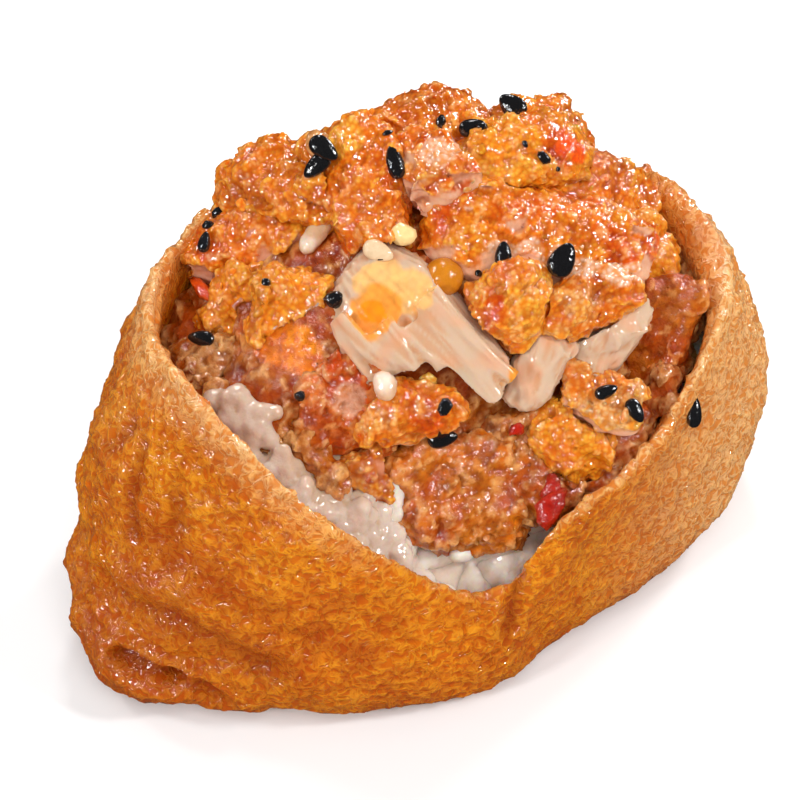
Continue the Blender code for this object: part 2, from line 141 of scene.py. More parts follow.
def cells(points, size, seed=0):
    """For the nearest of scattered spots: its distance, how much further the next one is, a number
    from 0 to 1 for it, and the height over it of a plane that leans at random."""
    place = points / size + seed * SHIFT
    cell = np.floor(place).astype(int)
    first = np.full(len(points), 9.0)
    second = np.full(len(points), 9.0)
    mark = np.zeros(len(points))
    lean = np.zeros(len(points))
    for step in np.ndindex(3, 3, 3):
        spot = cell + np.array(step) - 1
        at = tuple((spot % LATTICE).T)
        away = place - spot - SPOTS[at][:, :3]
        far = np.linalg.norm(away, axis=1)
        nearer = far < first
        second = np.where(nearer, first, np.minimum(second, far))
        mark = np.where(nearer, SPOTS[at][:, 3], mark)
        lean = np.where(nearer, (LEANS[at] * away).sum(1), lean)
        first = np.where(nearer, far, first)
    return first, second - first, mark, lean


def warped(points, size, amount, seed):
    """The points, each pushed a little by smooth noise."""
    push = np.stack([perlin(points, size, seed + k) for k in range(3)], 1)
    return points + push * amount


def ridges(points, size, seed=0):
    """Worm-like ridges, 0 between them and 1 along their crests."""
    return 1.0 - np.clip(np.abs(perlin(points, size, seed)) * 2.2, 0.0, 1.0)


def smooth(low, high, value):
    """0 below low, 1 above high, and an easy curve between."""
    share = np.clip((value - low) / (high - low), 0.0, 1.0)
    return share * share * (3.0 - 2.0 * share)


def blend(a, b, share):
    """Colours a and b, single or one each point, mixed by a share for each point."""
    return np.asarray(a) + (np.asarray(b) - np.asarray(a)) * share[:, None]


# ---- meshes -----------------------------------------------------------------------------------------
def welded(node):
    """A bmesh of a CAD node, its points joined."""
    bm = bmesh.new()
    bm.from_mesh(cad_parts[node].data)
    bmesh.ops.remove_doubles(bm, verts=bm.verts[:], dist=0.001 * MM)
    bm.normal_update()
    return bm


def new_object(name, bm):
    """An object in the scene from a bmesh, which is freed."""
    mesh = bpy.data.meshes.new(name)
    bm.to_mesh(mesh)
    bm.free()
    obj = bpy.data.objects.new(name, mesh)
    bpy.context.scene.collection.objects.link(obj)
    return obj


def applied(obj):
    """Apply an object's modifiers to its mesh."""
    bpy.context.view_layer.update()
    graph = bpy.context.evaluated_depsgraph_get()
    mesh = bpy.data.meshes.new_from_object(obj.evaluated_get(graph))
    obj.modifiers.clear()
    old = obj.data
    obj.data = mesh
    bpy.data.meshes.remove(old)
    mesh.name = obj.name
    return obj


def remeshed(obj, voxel, smoothing=3, levels=0):
    """Give an object an even mesh of small faces, its hard edges softened."""
    remesh = obj.modifiers.new("even", "REMESH")
    remesh.mode = "VOXEL"
    remesh.voxel_size = voxel * MM
    soften = obj.modifiers.new("soften", "SMOOTH")
    soften.factor = 0.5
    soften.iterations = smoothing
    if levels:
        finer = obj.modifiers.new("finer", "SUBSURF")
        finer.levels = levels
        finer.render_levels = levels
    return applied(obj)


def points_of(obj):
    """An object's points, in millimetres."""
    co = np.empty(len(obj.data.vertices) * 3, np.float32)
    obj.data.vertices.foreach_get("co", co)
    return co.reshape(-1, 3).astype(float) / MM


def normals_of(obj):
    """An object's normals at its points."""
    normals = np.empty(len(obj.data.vertices) * 3, np.float32)
    obj.data.vertex_normals.foreach_get("vector", normals)
    return normals.reshape(-1, 3).astype(float)


def tints_of(obj):
    """The colour and roughness painted at an object's points."""
    tints = np.empty(len(obj.data.vertices) * 4, np.float32)
    obj.data.color_attributes["tint"].data.foreach_get("color", tints)
    return tints.reshape(-1, 4).astype(float)


def put_points(obj, points):
    """Move an object's points to places in millimetres."""
    obj.data.vertices.foreach_set("co", (points * MM).astype(np.float32).ravel())
    obj.data.update()


def paint(obj, colour, gloss, grit=1.0):
    """Keep a colour, a roughness and the strength of the fine pattern at each point for the material."""
    strength = obj.data.attributes.new("grit", "FLOAT", "POINT")
    strength.data.foreach_set("value", np.broadcast_to(grit, len(gloss)).astype(np.float32))
    tint = obj.data.color_attributes.new("tint", "FLOAT_COLOR", "POINT")
    rgba = np.concatenate([np.clip(colour, 0.0, 1.0), np.clip(gloss, 0.0, 1.0)[:, None]], axis=1)
    tint.data.foreach_set("color", rgba.astype(np.float32).ravel())
    obj.data.shade_smooth()


def bulge(obj, points, normals, rounds):
    """How far each point stands out of its neighbourhood, in millimetres; a dent is less than 0."""
    edges = np.empty(len(obj.data.edges) * 2, np.int32)
    obj.data.edges.foreach_get("vertices", edges)
    a, b = edges.reshape(-1, 2).T
    count = np.bincount(a, minlength=len(points)) + np.bincount(b, minlength=len(points))
    soft = points
    for _ in range(rounds):
        total = [np.bincount(a, soft[b, k], len(points)) + np.bincount(b, soft[a, k], len(points))
                 for k in range(3)]
        soft = 0.5 * soft + 0.5 * np.stack(total, 1) / np.maximum(count, 1)[:, None]
    return ((points - soft) * normals).sum(1)


def from_path(points, path):
    """Each point's distance from a path through the given places."""
    nearest = np.full(len(points), 99.0)
    for start, end in zip(path[:-1], path[1:]):
        a = np.array(start)
        along = np.array(end) - a
        share = np.clip(((points - a) @ along) / (along @ along), 0.0, 1.0)
        nearest = np.minimum(nearest, np.linalg.norm(points - a - share[:, None] * along, axis=1))
    return nearest


def add_strand(bm, path, radius, flat=0.7, sides=7):
    """Add a closed, tapered strand along a path of places, in millimetres, to a bmesh."""
    rings = []
    for k, place in enumerate(path):
        way = path[min(k + 1, len(path) - 1)] - path[max(k - 1, 0)]
        way = way / np.linalg.norm(way)
        side = np.cross(way, VIEW_BACK)
        side /= np.linalg.norm(side)
        over = np.cross(side, way)
        thick = radius * (0.85 + 0.15 * math.sin(math.pi * k / (len(path) - 1)))
        ring = []
        for j in range(sides):
            angle = math.tau * j / sides
            spot = place + thick * (side * math.cos(angle) + flat * over * math.sin(angle))
            ring.append(bm.verts.new(Vector(spot * MM)))
        rings.append(ring)
    for first, second in zip(rings[:-1], rings[1:]):
        for j in range(sides):
            after = (j + 1) % sides
            bm.faces.new((first[j], first[after], second[after], second[j]))
    bm.faces.new(rings[0][::-1])
    bm.faces.new(rings[-1])


def finish_piece(obj, material, slot, *nodes):
    """Give a piece its material and its place in the part."""
    obj.data.materials.clear()
    obj.data.materials.append(material)
    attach(obj, "root")
    if nodes:
        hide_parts(*nodes)


# ---- materials --------------------------------------------------------------------------------------
def node(tree, kind, **values):
    """A shader node with some of its inputs or settings given."""
    made = tree.nodes.new(kind)
    for key, value in values.items():
        if key in made.inputs:
            made.inputs[key].default_value = value
        else:
            setattr(made, key, value)
    return made


def food_material(name, pattern, size, depth, dark, light, scatter, coat, fine=0.35, rough_share=0.10):
    """A moist, slightly translucent surface. Its colour is the piece's own tint, times dark in the
    hollows of a fine pattern, partly their redder colour and partly painted shade, and times light on
    the pattern's crests, partly their yellower colour and partly a painted highlight that whitens them."""
    material = bpy.data.materials.new(name)
    material.use_nodes = True
    tree = material.node_tree
    shader = tree.nodes["Principled BSDF"]
    link = tree.links.new
    place = node(tree, "ShaderNodeTexCoord")
    tint = node(tree, "ShaderNodeVertexColor", layer_name="tint")
    span = node(tree, "ShaderNodeMapRange", clamp=True)
    if pattern == "worms":
        shape = node(tree, "ShaderNodeTexNoise", Scale=1.0 / (size * MM), Detail=2.0, Roughness=0.55,
                     Distortion=0.6)
        middle = node(tree, "ShaderNodeMath", operation="SUBTRACT")
        middle.inputs[1].default_value = 0.5
        link(shape.outputs["Fac"], middle.inputs[0])
        fold = node(tree, "ShaderNodeMath", operation="ABSOLUTE")
        link(middle.outputs["Value"], fold.inputs[0])
        link(fold.outputs["Value"], span.inputs["Value"])
        span.inputs["From Min"].default_value = 0.13
        span.inputs["From Max"].default_value = 0.0
    elif pattern == "grains":
        shape = node(tree, "ShaderNodeTexVoronoi", feature="SMOOTH_F1", Scale=1.0 / (size * MM), Smoothness=0.35)
        link(shape.outputs["Distance"], span.inputs["Value"])
        span.inputs["From Min"].default_value = 0.75
        span.inputs["From Max"].default_value = 0.10
    else:
        shape = node(tree, "ShaderNodeTexNoise", Scale=1.0 / (size * MM), Detail=3.0, Roughness=0.6)
        link(shape.outputs["Fac"], span.inputs["Value"])
        span.inputs["From Min"].default_value = 0.3
        span.inputs["From Max"].default_value = 0.7
    link(place.outputs["Object"], shape.inputs["Vector"])
    speckle = node(tree, "ShaderNodeTexNoise", Scale=1.0 / (fine * MM), Detail=3.0, Roughness=0.6)
    link(place.outputs["Object"], speckle.inputs["Vector"])
    height = node(tree, "ShaderNodeMath", operation="MULTIPLY_ADD")
    height.inputs[1].default_value = rough_share
    link(speckle.outputs["Fac"], height.inputs[0])
    grit = node(tree, "ShaderNodeAttribute", attribute_name="grit")
    pattern_height = node(tree, "ShaderNodeMath", operation="MULTIPLY")
    link(span.outputs["Result"], pattern_height.inputs[0])
    link(grit.outputs["Fac"], pattern_height.inputs[1])
    link(pattern_height.outputs["Value"], height.inputs[2])
    # Dark in the hollows and light on the crests: partly own colour, partly painted shade and highlight.
    shift = node(tree, "ShaderNodeMix", data_type="RGBA")
    shift.inputs["A"].default_value = (*dark, 1.0)
    shift.inputs["B"].default_value = (*light, 1.0)
    level = node(tree, "ShaderNodeMapRange", clamp=True)
    level.inputs["From Min"].default_value = 0.10
    level.inputs["From Max"].default_value = 1.1
    centred = node(tree, "ShaderNodeMath", operation="MULTIPLY_ADD")
    centred.inputs[1].default_value = -0.5
    centred.inputs[2].default_value = 0.5
    link(grit.outputs["Fac"], centred.inputs[0])
    evened = node(tree, "ShaderNodeMath", operation="ADD")
    link(centred.outputs["Value"], evened.inputs[0])
    link(height.outputs["Value"], evened.inputs[1])
    link(evened.outputs["Value"], level.inputs["Value"])
    link(level.outputs["Result"], shift.inputs["Factor"])
    shade = node(tree, "ShaderNodeVectorMath", operation="MULTIPLY")
    link(tint.outputs["Color"], shade.inputs[0])
    link(shift.outputs["Result"], shade.inputs[1])
    link(shade.outputs["Vector"], shader.inputs["Base Color"])
    wet = node(tree, "ShaderNodeMath", operation="MULTIPLY_ADD")
    wet.inputs[1].default_value = 0.2
    link(speckle.outputs["Fac"], wet.inputs[0])
    dry = node(tree, "ShaderNodeMath", operation="ADD")
    dry.inputs[1].default_value = -0.1
    link(tint.outputs["Alpha"], dry.inputs[0])
    link(dry.outputs["Value"], wet.inputs[2])
    link(wet.outputs["Value"], shader.inputs["Roughness"])
    relief = node(tree, "ShaderNodeBump", Strength=1.0, Distance=depth * MM)
    link(height.outputs["Value"], relief.inputs["Height"])
    link(relief.outputs["Normal"], shader.inputs["Normal"])
    link(relief.outputs["Normal"], shader.inputs["Coat Normal"])
    shader.inputs["Subsurface Weight"].default_value = scatter
    shader.inputs["Subsurface Radius"].default_value = (1.0, 0.40, 0.15)
    shader.inputs["Subsurface Scale"].default_value = 1.4 * MM
    shader.inputs["Coat Weight"].default_value = coat
    shader.inputs["Coat Roughness"].default_value = 0.05
    shader.inputs["Coat IOR"].default_value = 2.0
    shader.inputs["Specular IOR Level"].default_value = 0.05
    shader.inputs["IOR"].default_value = 1.42
    return material


skin_material = food_material("fried_skin", "worms", 0.95, 0.10, (0.86, 0.65, 0.45), (1.12, 1.42, 2.2), 0.10, 1.0,
                              fine=0.4)
crust_material = food_material("seared_crust", "grains", 0.45, 0.09, (0.86, 0.58, 0.32), (1.10, 1.32, 1.9), 0.15,
                               1.0, fine=0.2)
glaze_material = food_material("glazed_meat", "noise", 0.9, 0.15, (0.72, 0.46, 0.24), (1.14, 1.24, 1.5), 0.12, 1.0)
flesh_material = food_material("pale_flesh", "noise", 0.9, 0.07, (0.94, 0.90, 0.84), (1.05, 1.08, 1.12), 0.30,
                               0.5)
rice_material = food_material("cooked_rice", "noise", 1.2, 0.06, (0.92, 0.90, 0.88), (1.06, 1.07, 1.08), 0.45, 0.7)
seed_material = food_material("seed_coat", "noise", 0.5, 0.03, (0.92, 0.90, 0.86), (1.06, 1.07, 1.08), 0.0, 0.6)


# ---- the pouch --------------------------------------------------------------------------------------
# Grooves in the skin: how deep, how wide, how much painted shade darkens each, and the path along each.
GROOVES = (
    (2.0, 0.8, 1.0, ((-33.8, -6.4, 7.0), (-32.0, -8.6, 6.8), (-30.2, -10.4, 6.2))),
    (1.3, 0.8, 0.8, ((-30.2, -10.4, 6.2), (-27.6, -12.5, 5.0), (-24.9, -14.6, 2.6))),
    (1.3, 1.8, 0.6, ((-34.4, -3.4, 13.6), (-32.4, -6.2, 13.4), (-29.6, -10.3, 14.0), (-26.6, -13.4, 11.9),
                     (-23.4, -15.9, 9.5))),
    (0.45, 0.8, 0.5, ((-24.9, -7.0, 32.0), (-26.6, -7.5, 28.5), (-27.6, -8.7, 25.0))),
    (0.5, 0.8, 0.6, ((-25.5, -1.6, 32.4), (-27.9, -3.6, 30.4), (-30.2, -4.3, 26.0), (-31.0, -5.5, 22.0))),
    (0.4, 0.8, 0.5, ((-24.9, -0.2, 32.3), (-28.4, -1.2, 30.9), (-31.0, -0.2, 27.7))),
    (0.7, 0.8, 0.5, ((0.2, -20.5, 17.0), (-0.4, -21.2, 13.5), (-0.6, -21.0, 10.0))),
)
LUMP = (-32.8, -8.0, 3.6)       # the folded corner of the sheet, low at the left
DENT = (-37.0, 1.5, 12.5)       # the hollow in the left end, over the corner
FOLD = (28.5, 1.0, 30.0)        # where the rim is rolled inwards, at the right


def below_rim(points, step):
    """How far each point lies under the highest one in the same sector round the mouth."""
    sectors = int(360.0 / step)
    turn = np.degrees(np.arctan2(points[:, 1] - RIM_CENTRE[1], points[:, 0] - RIM_CENTRE[0]))
    turn = np.round(turn / step).astype(int) % sectors
    rim = np.zeros(sectors)
    np.maximum.at(rim, turn, points[:, 2])
    return rim[turn] - points[:, 2]


RIM_CENTRE = (1.8, 0.0)
RIM_WEAR = 2.0                  # how much evening the mesh wears off the rim


def make_pouch():
    bm = welded("tofu_pouch")
    corners = np.array([v.co for v in bm.verts]) / MM
    back = smooth(-4.0, 12.0, corners[:, 1]) * smooth(-8.0, 8.0, corners[:, 0])
    lift = RIM_WEAR * smooth(7.0, 0.0, below_rim(corners, 7.5)) * (1.0 - back)
    for vert, rise in zip(bm.verts, lift):
        vert.co.z += rise * MM
    pouch = remeshed(new_object("fried_skin", bm), 0.9, smoothing=6, levels=1)
    p = points_of(pouch)
    n = normals_of(pouch)
    floor = smooth(0.4, 3.0, p[:, 2])
    inside = smooth(-0.3, 0.3, -(n[:, 0] * (p[:, 0] - 1.2) / 28.0 + n[:, 1] * p[:, 1] / 21.0) - 0.05)
    outside = 1.0 - inside
    lip = smooth(0.35, 0.85, n[:, 2]) * smooth(14.0, 19.0, p[:, 2])
    flow = warped(p, 3.0, 1.0, 1)
    streaks = flow.copy()
    low = smooth(12.0, 5.0, p[:, 2])
    streaks[:, 2] *= 1.4 + 1.2 * low
    streaks[:, :2] *= (1.0 - 0.45 * low)[:, None]
    worms = ridges(streaks, 1.9, 4)
    fine_worms = ridges(streaks, 1.15, 5)
    near, edge, mark, lean = cells(warped(p, 2.0, 0.4, 2), 1.5, 6)
    knobs = np.clip(1.0 - near * 1.3, 0.0, 1.0)
    big = cells(warped(p, 4.0, 0.8, 3), 5.0, 12)[0]
    scallops = np.clip(1.0 - big * 1.2, 0.0, 1.0) * smooth(-10.0, -26.0, p[:, 0])
    zone = smooth(-0.25, 0.35, perlin(p, 9.0, 7))
    lumps = perlin(p, 5.5, 8)
    relief = 0.32 * lumps + 0.24 * worms + 0.18 * fine_worms + (0.14 + 0.20 * zone) * knobs + 0.9 * scallops
    teeth = np.clip(1.0 - cells(p, 1.4, 13)[0] * 1.5, 0.0, 1.0)
    relief += lip * 0.8 * teeth
    crease_shade = np.zeros(len(p))
    sink = np.zeros(len(p))
    for depth, width, dark, path in GROOVES:
        away = from_path(flow * 0.2 + p * 0.8, path) / width
        sink += depth * np.exp(-away ** 2)
        sink -= 0.35 * depth * np.exp(-(away - 2.0) ** 2)
        crease_shade = np.maximum(crease_shade, dark * np.exp(-(away / 1.2) ** 2))
    swell = 1.4 * np.exp(-(np.linalg.norm(p - LUMP, axis=1) / 4.0) ** 2)
    swell -= 1.5 * np.exp(-(np.linalg.norm(p - DENT, axis=1) / 5.5) ** 2)
    under = below_rim(p, 3.0)
    thin = inside * smooth(5.0, 1.0, under)
    fold = inside * smooth(9.0, 3.0, under) * np.exp(-(np.linalg.norm(p - FOLD, axis=1) / 10.0) ** 4)
    thin *= 1.0 - fold
    rise = ((relief - 0.30) * (0.25 + 0.75 * outside) + (swell - sink) * outside - 0.7 * thin + 2.0 * fold) * floor
    put_points(pouch, p + n * rise[:, None])
    new_p = points_of(pouch)
    out = bulge(pouch, new_p, normals_of(pouch), 8)
    colour = blend(SKIN, SKIN_DARK, smooth(-0.05, 0.45, perlin(p, 7.0, 9)) * 0.55)
    colour = blend(colour, SKIN_GOLD, smooth(0.0, 0.5, -perlin(p, 8.0, 14)) * 0.5)
    # Painted shade: darker in the skin's dents.
    colour = blend(colour, SKIN_DARK, smooth(0.0, -0.12, out) * 0.55)
    colour = blend(colour, SKIN_GOLD, smooth(0.0, 0.12, out) * 0.55)
    # Painted light: the right end of the pouch made paler, where the lamps fall on it.
    right = smooth(6.0, 30.0, p[:, 0])
    right = right * smooth(5.0, -6.0, p[:, 1])
    colour = blend(colour, SKIN_PAINTED_LIGHT, 0.72 * right)
    # The rim's lip paler, more so at the right: partly the rim's own golden colour, partly painted light.
    colour = blend(colour, SKIN_PAINTED_LIGHT, (0.45 + 0.45 * right) * lip)
    # Painted light: a pale band along the upper left rim, which faces away from the lamps.
    colour = blend(colour, SKIN_PAINTED_LIGHT, 0.55 * smooth(-10.0, -22.0, p[:, 0]) * smooth(4.5, 0.5, under))
    patch = np.exp(-(np.linalg.norm(p - (-30.0, -8.0, 19.0), axis=1) / 7.0) ** 2)
    patch += np.exp(-(np.linalg.norm(p - (-18.0, -18.0, 14.0), axis=1) / 6.0) ** 2)
    patch = np.clip(patch * (1.0 + 1.5 * perlin(p, 3.5, 15)), 0.0, 1.0)
    colour = blend(colour, SKIN_DARK, 0.85 * patch)
    # Darker at the lower left, partly the skin's own red-brown, partly painted shade.
    low_left = smooth(-20.0, -32.0, p[:, 0]) * smooth(14.0, 6.0, p[:, 2])
    colour = blend(colour, SKIN_DARK, 0.7 * low_left)
    # Painted shade: darker near the bottom, by the floor.
    colour = blend(colour, SKIN_DARK, 0.5 * smooth(7.0, 2.0, p[:, 2]))
    # Painted shade along the grooves on the outside of the pouch.
    colour = blend(colour, SKIN_CREASE_SHADE, np.clip(crease_shade * outside, 0.0, 1.0) * 0.85)
    colour = blend(colour, SKIN, 0.5 * inside)
    gloss = 0.36 - 0.10 * smooth(0.1, 0.6, perlin(p, 6.0, 10)) + 0.08 * (1.0 - zone) - 0.10 * patch
    paint(pouch, colour, gloss)
    finish_piece(pouch, skin_material, "tofu_skin", "tofu_pouch")
    return pouch


# ---- torn pieces ------------------------------------------------------------------------------------
def flakes(bm, count, size, rng, outward):
    """Add thin ragged flakes that stand out from the edges of a piece."""
    faces = [f for f in bm.faces if f.normal.dot(outward) > 0.2]
    if not faces:
        return
    areas = np.array([f.calc_area() for f in faces])
    picks = rng.choice(len(faces), count, p=areas / areas.sum())
    spots = [(faces[k].calc_center_median(), faces[k].normal.copy(), faces[k].verts[0].co.copy()) for k in picks]
    for centre, normal, corner in spots:
        centre = centre.lerp(corner, rng.random() * 0.7)
        flat = bmesh.ops.create_icosphere(bm, subdivisions=2, radius=1.0)["verts"]
        length = size * (0.6 + 0.8 * rng.random()) * MM
        scale = Matrix.Diagonal((length, length * (0.5 + 0.4 * rng.random()), length * 0.32, 1.0))
        lean = normal.to_track_quat("Z", "Y").to_matrix().to_4x4()
        turn = Matrix.Rotation(rng.random() * math.tau, 4, "Z") @ Matrix.Rotation(rng.normal() * 0.5, 4, "X")
        bmesh.ops.transform(bm, matrix=Matrix.Translation(centre) @ lean @ turn @ scale, verts=flat)


# deep: the colour of dark crumbs, and the painted shade in hollows and seams
SEARED = dict(base=CRUST, dark=CRUST_RED, light=CRUST_GOLD, edge=CRUST_YELLOW, deep=CRUST_DEEP, flesh=FLESH,
              way=(-0.1, -0.2, 0.95), bare=-0.5, fibre=(0.9, -0.4, 0.0), rough=1.0, lumps=0.40, spots=())
GLAZED = dict(SEARED, base=GLAZE, dark=GLAZE_RED, light=CRUST, edge=GLAZE_PALE, deep=GLAZE_DARK,
              flesh=GLAZE_PALE, bare=-0.9, rough=1.15)
PALE = dict(SEARED, base=FLESH_WHITE, dark=FLESH, light=FLESH_WHITE, edge=FLESH_WHITE, deep=FLESH_DEEP,
            flesh=FLESH_WHITE, bare=2.0, lumps=0.15)


def torn(name, node_name, seed, look, material, slot, voxel=0.27, swell=0.35, flake_count=14, flake_size=1.4,
         extra=None, rounding=0):
    """A torn piece of chicken in place of its CAD node. Its look gives the browned side's colours and
    the way that side faces, how far round the browning reaches, the flesh's colour and the way its
    fibres run, and round spots of another colour. Its deep colour marks dark crumbs, and it is also
    painted shade in the piece's hollows and seams."""
    rng = np.random.default_rng(seed)
    bm = welded(node_name) if node_name else bmesh.new()
    for _ in range(rounding):
        bmesh.ops.smooth_vert(bm, verts=bm.verts[:], factor=0.5, use_axis_x=True, use_axis_y=True, use_axis_z=True)
    bm.normal_update()
    for vert in bm.verts:
        vert.co += vert.normal * swell * MM
    way = np.array(look["way"]) / np.linalg.norm(look["way"])
    if extra:
        extra(bm, rng)
    flakes(bm, flake_count, flake_size, rng, Vector(way))
    piece = remeshed(new_object(name, bm), voxel, smoothing=1)
    p = points_of(piece)
    n = normals_of(piece)
    seed = seed * 20
    q = warped(p, 1.3, 0.3, seed + 1)
    near, edge, mark, lean = cells(q, 2.0, seed + 4)
    near_s, edge_s, mark_s, lean_s = cells(q, 0.75, seed + 5)
    dome = np.clip(1.0 - (near_s * 1.2) ** 2, 0.0, 1.0)
    bare = smooth(look["bare"] + 0.12, look["bare"] - 0.12, n @ way + 0.30 * perlin(p, 2.6, seed + 8))
    crisp = 1.0 - bare
    fibre = np.array(look["fibre"]) / np.linalg.norm(look["fibre"])
    along = (p @ fibre)[:, None] * fibre
    grain = (p - along) + 0.10 * along
    threads = 0.65 * ridges(grain, 1.3, seed + 6) + 0.35 * ridges(grain, 0.7, seed + 7)
    ragged = ridges(q, 1.3, seed + 3)
    crumbly = 0.14 * dome + 0.24 * mark + 0.14 * lean + 0.14 * mark_s + 0.22 * ragged + 0.06
    relief = look["lumps"] * perlin(p, 3.8, seed + 9) + look["rough"] * crumbly * crisp + 0.30 * threads * bare
    put_points(piece, p + n * (relief - 0.45)[:, None])
    out = bulge(piece, points_of(piece), normals_of(piece), 14)
    tone = perlin(p, 4.0, seed + 10)
    other = perlin(p, 3.2, seed + 11)
    colour = blend(look["base"], look["dark"], smooth(-0.10, 0.45, tone + 0.35 * (mark_s - 0.5)) * 0.85)
    colour = blend(colour, look["light"], smooth(0.0, 0.45, other + 0.35 * (mark - 0.5)) * 0.75)
    colour = blend(colour, look["edge"], smooth(0.04, 0.30, out + 0.10 * other) * 0.80)
    colour = colour * (0.80 + 0.34 * mark_s)[:, None]
    colour = blend(colour, CRUST_TAN, smooth(0.78, 0.92, mark_s) * 0.55)
    colour = blend(colour, look["deep"], smooth(0.16, 0.04, mark_s) * 0.35)
    # Painted shade: the deep colour in the hollows and seams of the piece.
    colour = blend(colour, look["deep"], smooth(-0.05, -0.40, out) * 0.75)
    pale = blend(look["flesh"], FLESH_PINK, smooth(0.0, 0.5, perlin(p, 2.8, seed + 12)) * 0.6)
    pale = blend(pale, FLESH_DEEP, smooth(0.45, 0.05, threads) * 0.40)
    # Painted shade in the hollows of the bare flesh.
    pale = blend(pale, look["deep"], smooth(-0.04, -0.30, out) * 0.75)
    colour = blend(colour, pale, bare)
    for place, reach, stain in look["spots"]:
        away = np.linalg.norm(p - place, axis=1) / reach + 0.25 * perlin(p, 1.6, seed + 13)
        colour = blend(colour, np.array(stain) * (0.85 + 0.3 * dome)[:, None], smooth(1.05, 0.90, away) * 0.9)
    gloss = 0.30 + 0.10 * perlin(p, 2.0, seed + 14) + 0.08 * bare
    paint(piece, colour, gloss, 1.0 - 0.85 * bare)
    finish_piece(piece, material, slot, *([node_name] if node_name else []))
    return piece


# ---- the camera, the light and the floor ------------------------------------------------------------
def add_camera():
    data = bpy.data.cameras.new("camera")
    data.lens = VIEW_LENS
    data.sensor_width = 36.0
    data.clip_start = 0.01
    camera = bpy.data.objects.new("camera", data)
    bpy.context.scene.collection.objects.link(camera)
    axes = Matrix((VIEW_RIGHT, VIEW_UP, VIEW_BACK)).transposed().to_4x4()
    camera.matrix_world = Matrix.Translation(Vector(EYE * MM)) @ axes
    bpy.context.scene.camera = camera


def add_light(name, azimuth, elevation, size, power):
    """A square soft light that looks at the sushi."""
    back = Vector(from_angles(azimuth, elevation))
    data = bpy.data.lights.new(name, "AREA")
    data.shape = "SQUARE"
    data.size = size
    data.energy = power
    light = bpy.data.objects.new(name, data)
    bpy.context.scene.collection.objects.link(light)
    light.location = back * LIGHT_DISTANCE + Vector((0.0, 0.0, 0.02))
    light.rotation_euler = back.to_track_quat("Z", "Y").to_euler()
    return light


def add_studio():
    scene = bpy.context.scene
    scene.view_settings.view_transform = "Standard"
    world = bpy.data.worlds.new("studio")
    scene.world = world
    world.use_nodes = True
    tree = world.node_tree
    background = tree.nodes["Background"]
    background.inputs["Color"].default_value = (1.0, 1.0, 1.0, 1.0)
    ray = tree.nodes.new("ShaderNodeLightPath")
    seen = tree.nodes.new("ShaderNodeMix")
    seen.inputs["A"].default_value = 0.32
    seen.inputs["B"].default_value = 0.03
    tree.links.new(ray.outputs["Is Glossy Ray"], seen.inputs["Factor"])
    whole = tree.nodes.new("ShaderNodeMix")
    whole.inputs["B"].default_value = 1.0
    tree.links.new(ray.outputs["Is Camera Ray"], whole.inputs["Factor"])
    tree.links.new(seen.outputs["Result"], whole.inputs["A"])
    tree.links.new(whole.outputs["Result"], background.inputs["Strength"])
    for k, (azimuth, elevation, size, power) in enumerate(LIGHTS):
        add_light(f"light_{k}", azimuth, elevation, size, power)
    add_light("fill", *FILL).visible_glossy = False
    bm = bmesh.new()
    bmesh.ops.create_grid(bm, x_segments=1, y_segments=1, size=1.5)
    ground = new_object("ground", bm)
    ground.visible_glossy = False
    white = bpy.data.materials.new("paper_floor")
    white.use_nodes = True
    shader = white.node_tree.nodes["Principled BSDF"]
    shader.inputs["Base Color"].default_value = (0.93, 0.93, 0.93, 1.0)
    shader.inputs["Roughness"].default_value = 0.8
    ground.data.materials.append(white)


# ---- many small things, joined ----------------------------------------------------------------------
def turned(profile, rings, segments):
    """Points and faces of a shape turned round the X axis from -1 to 1, with the radius profile(x)."""
    verts = [(-1.0, 0.0, 0.0)]
    for ring in range(1, rings):
        x = -math.cos(math.pi * ring / rings)
        for k in range(segments):
            angle = math.tau * k / segments
            verts.append((x, profile(x) * math.cos(angle), profile(x) * math.sin(angle)))
    verts.append((1.0, 0.0, 0.0))
    faces = [(0, 1 + (k + 1) % segments, 1 + k) for k in range(segments)]
    for ring in range(rings - 2):
        start = 1 + ring * segments
        for k in range(segments):
            after = (k + 1) % segments
            faces.append((start + k, start + after, start + segments + after, start + segments + k))
    last = 1 + (rings - 2) * segments
    tip = len(verts) - 1
    faces += [(last + k, last + (k + 1) % segments, tip) for k in range(segments)]
    return np.array(verts), faces


def crumb_shapes(count, subdivisions=2):
    """Ragged little blocks about 2 across, points and faces of each."""
    bm = bmesh.new()
    bmesh.ops.create_icosphere(bm, subdivisions=subdivisions, radius=1.0)
    round_points = np.array([v.co for v in bm.verts])
    faces = [tuple(v.index for v in f.verts) for f in bm.faces]
    bm.free()
    shapes = []
    for k in range(count):
        near, edge, mark, lean = cells(round_points, 0.9, 200 + k)
        reach = 0.75 + 0.35 * perlin(round_points, 1.1, 220 + k) + 0.35 * mark
        shapes.append((round_points * reach[:, None], faces))
    return shapes


def frame_at(normal, heading):
    """A matrix whose Z is the normal and whose X is as near to heading as it can be."""
    z = np.asarray(normal, float)
    z = z / np.linalg.norm(z)
    x = np.asarray(heading, float) - z * np.dot(heading, z)
    x /= np.linalg.norm(x)
    return np.stack([x, np.cross(z, x), z], 1)


